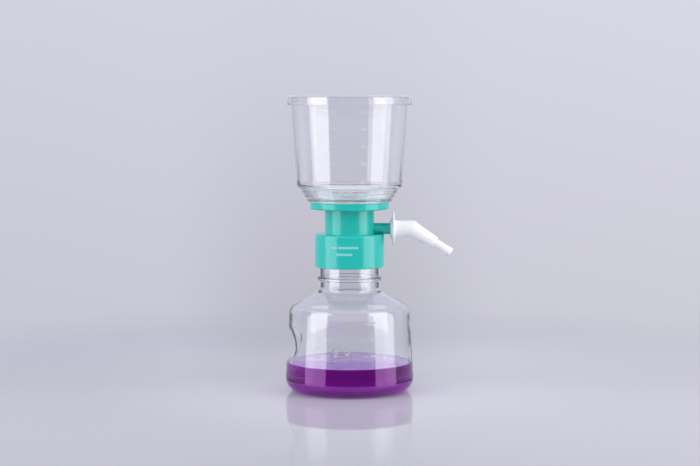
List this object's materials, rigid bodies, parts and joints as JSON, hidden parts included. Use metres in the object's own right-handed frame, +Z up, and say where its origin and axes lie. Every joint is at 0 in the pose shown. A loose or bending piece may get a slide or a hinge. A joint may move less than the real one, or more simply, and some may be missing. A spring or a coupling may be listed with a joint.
{
  "type": "vacuum filtration unit",
  "caption": "Clear tapered funnel with a lid on a teal screw collar with a side vacuum nipple and white elbow, over a clear receiver bottle with purple liquid.",
  "frame": {"origin": "centre of the plane that the bottle stands on, on the axis of the bottle and the funnel", "axes": "+Z up along the bottle's axis; +X towards the vacuum nipple and its hose connector; the finger grip is at -X"},
  "size_m": [0.1217, 0.0932, 0.2139],
  "materials": {
    "lid_plastic": "clear moulded polystyrene",
    "funnel_plastic": "clear moulded polystyrene",
    "bottle_plastic": "clear blown polystyrene",
    "membrane": "matte white polymer film",
    "teal_plastic": "glossy moulded teal plastic",
    "plug_fibre": "white fibre wadding",
    "gasket_rubber": "soft pale silicone",
    "white_plastic": "satin white plastic",
    "filtrate": "clear purple liquid"
  },
  "bodies": {
    "receiver": {"bottle": "bottle_plastic", "filtrate": "filtrate"},
    "seal": {"neck_gasket": "gasket_rubber"},
    "filter_top": {"adapter": "teal_plastic", "port_plug": "plug_fibre", "membrane": "membrane", "funnel": "funnel_plastic", "lid": "lid_plastic"},
    "hose_elbow": {"hose_connector": "white_plastic"}
  },
  "joints": [
    {"name": "thread_lift", "type": "slide", "parent": "receiver", "child": "seal", "axis": [0, 0, 1], "range_m": [0, 0.0063]},
    {"name": "unscrew", "type": "hinge", "parent": "seal", "child": "filter_top", "pos_m": [0, 0, 0.1107], "axis": [0, 0, 1], "range_deg": [0, 540]},
    {"name": "elbow_swivel", "type": "hinge", "parent": "filter_top", "child": "hose_elbow", "pos_m": [0.0295, 0, 0.1178], "axis": [1, 0, 0], "continuous": true}
  ],
  "couplings": [
    {"joint": "thread_lift", "follows": "unscrew", "m_per_rad": 0.00066845}
  ]
}
